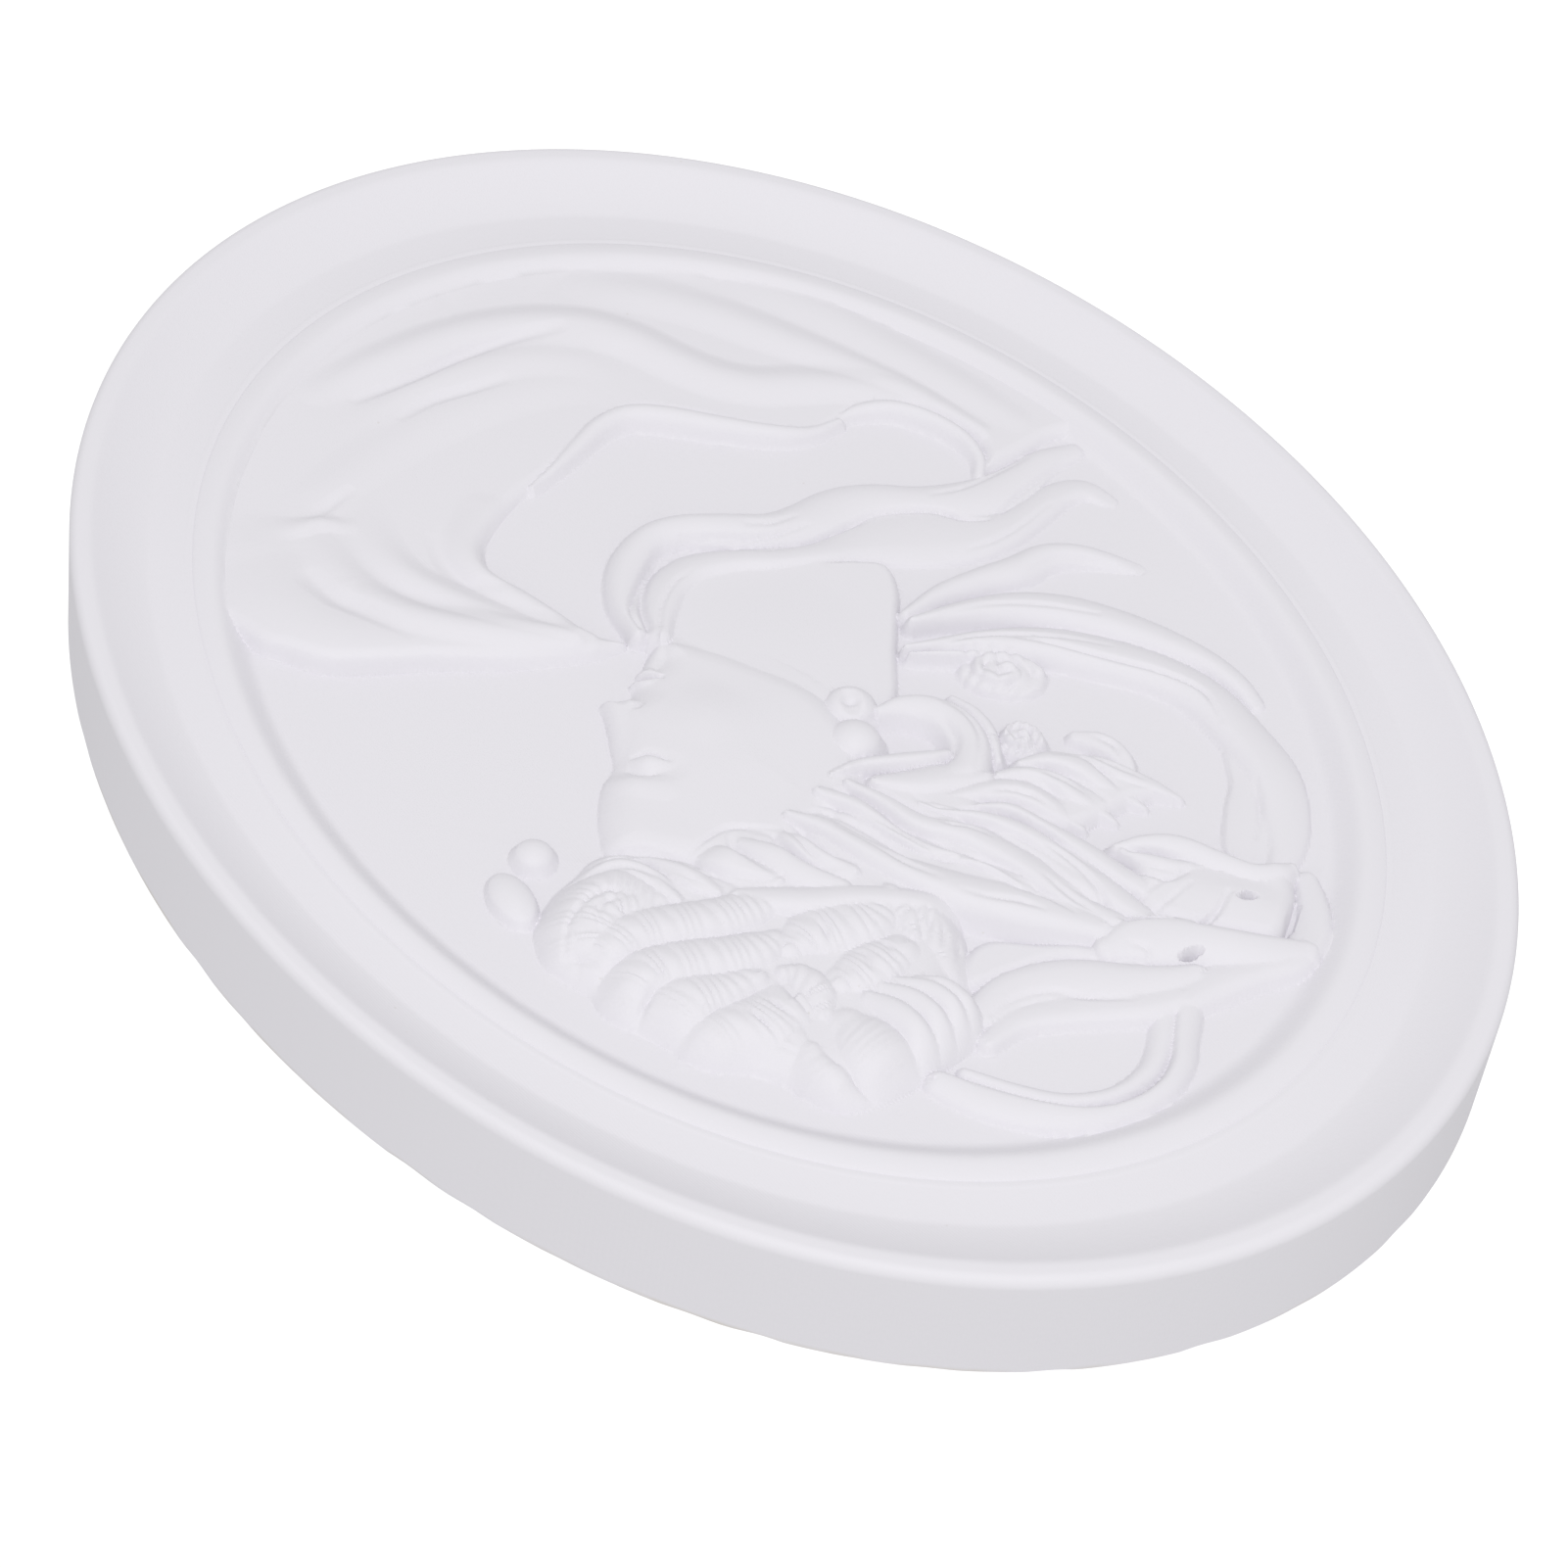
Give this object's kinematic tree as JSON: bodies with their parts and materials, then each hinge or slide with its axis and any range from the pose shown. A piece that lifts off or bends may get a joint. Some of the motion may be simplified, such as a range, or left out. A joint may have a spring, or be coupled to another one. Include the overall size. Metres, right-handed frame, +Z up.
{
  "type": "oval relief wall plaque",
  "caption": "Oval white resin wall plaque with a moulded frame round a head in profile with flowing hair, ribbons and a veil.",
  "frame": {"origin": "centre of the flat back, where the plaque meets the wall", "axes": "+X along the plaque, to the right as seen from the front, +Z up, +Y into the wall; the carving faces -Y"},
  "size_m": [0.3, 0.0245, 0.235],
  "materials": {
    "resin": "satin-matt cast white resin"
  },
  "bodies": {
    "root": {"plaque": "resin"}
  },
  "joints": []
}
